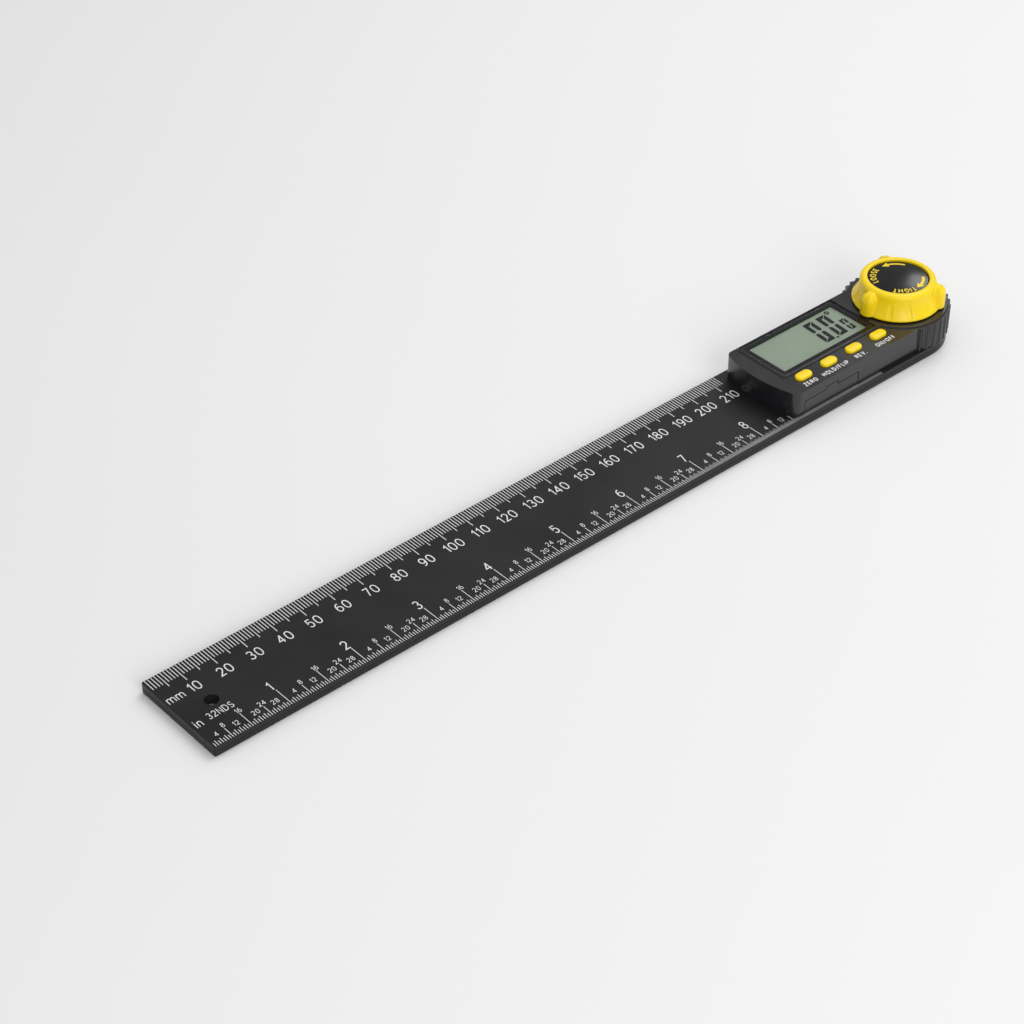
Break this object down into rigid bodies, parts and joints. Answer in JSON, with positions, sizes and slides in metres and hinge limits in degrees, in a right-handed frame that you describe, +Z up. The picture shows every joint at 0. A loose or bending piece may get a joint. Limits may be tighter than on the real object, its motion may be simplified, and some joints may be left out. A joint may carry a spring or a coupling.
{
  "type": "digital angle gauge",
  "caption": "Rule with two black blades on one pivot, a measuring head with a display and push buttons, and a yellow lobed knob that locks the angle.",
  "frame": {"origin": "middle of the underside of the closed gauge, on the surface that it rests on", "axes": "+X along the blades towards the pivot, +Y across them towards the millimetre edge, +Z up through the knob"},
  "size_m": [0.2944, 0.0344, 0.0211],
  "materials": {
    "blade": "satin black anodised, white printed scales",
    "housing": "fine satin moulded",
    "yellow": "semi-gloss moulded",
    "cap": "gloss, yellow print",
    "lens": "clear gloss",
    "frame": "satin",
    "panel": "grey-green liquid crystal",
    "rubber": "matt",
    "board": "green solder resist",
    "resin": "matt",
    "steel": "bright",
    "brass": "turned",
    "washer": "nylon"
  },
  "bodies": {
    "head": {"upper_blade": "blade", "pivot_bush": "brass", "housing_shell": "housing", "housing_floor": "housing", "housing_screws": "steel", "display_lens": "lens", "display_frame": "frame", "display_panel": "panel", "zebra_strips": "rubber", "circuit_board": "board", "board_screws": "steel", "controller_chip": "resin", "sensor_stator": "board", "sensor_header": "resin", "contact_top": "brass", "contact_side": "brass", "thrust_washer": "steel", "dome_zero": "steel", "dome_hold": "steel", "dome_reverse": "steel", "dome_power": "steel"},
    "lower_arm": {"lower_blade": "blade", "friction_washer": "washer", "pivot_bolt": "steel", "sensor_rotor": "board", "retaining_clip": "steel"},
    "knob": {"lock_knob": "yellow", "knob_nut": "brass", "knob_cap": "cap"},
    "battery_drawer": {"battery_tray": "housing", "coin_cell": "steel"},
    "zero_button": {"button_zero": "yellow"},
    "hold_button": {"button_hold": "yellow"},
    "reverse_button": {"button_reverse": "yellow"},
    "power_button": {"button_power": "yellow"}
  },
  "joints": [
    {"name": "blade_swing", "type": "hinge", "parent": "head", "child": "lower_arm", "pos_m": [0.13005, 0, 0], "axis": [0, 0, 1], "continuous": true},
    {"name": "knob_turn", "type": "hinge", "parent": "lower_arm", "child": "knob", "pos_m": [0.13005, 0, 0.013], "axis": [0, 0, 1], "range_deg": [0, 180]},
    {"name": "battery_slide", "type": "slide", "parent": "head", "child": "battery_drawer", "axis": [0, -1, 0], "range_m": [0, 0.024]},
    {"name": "zero_press", "type": "slide", "parent": "head", "child": "zero_button", "axis": [0, 0, -1], "range_m": [0, 0.0003], "stiffness_N_per_m": 500, "springref_m": -0.0004, "deforming": ["dome_zero"]},
    {"name": "hold_press", "type": "slide", "parent": "head", "child": "hold_button", "axis": [0, 0, -1], "range_m": [0, 0.0003], "stiffness_N_per_m": 500, "springref_m": -0.0004, "deforming": ["dome_hold"]},
    {"name": "reverse_press", "type": "slide", "parent": "head", "child": "reverse_button", "axis": [0, 0, -1], "range_m": [0, 0.0003], "stiffness_N_per_m": 500, "springref_m": -0.0004, "deforming": ["dome_reverse"]},
    {"name": "power_press", "type": "slide", "parent": "head", "child": "power_button", "axis": [0, 0, -1], "range_m": [0, 0.0003], "stiffness_N_per_m": 500, "springref_m": -0.0004, "deforming": ["dome_power"]}
  ]
}
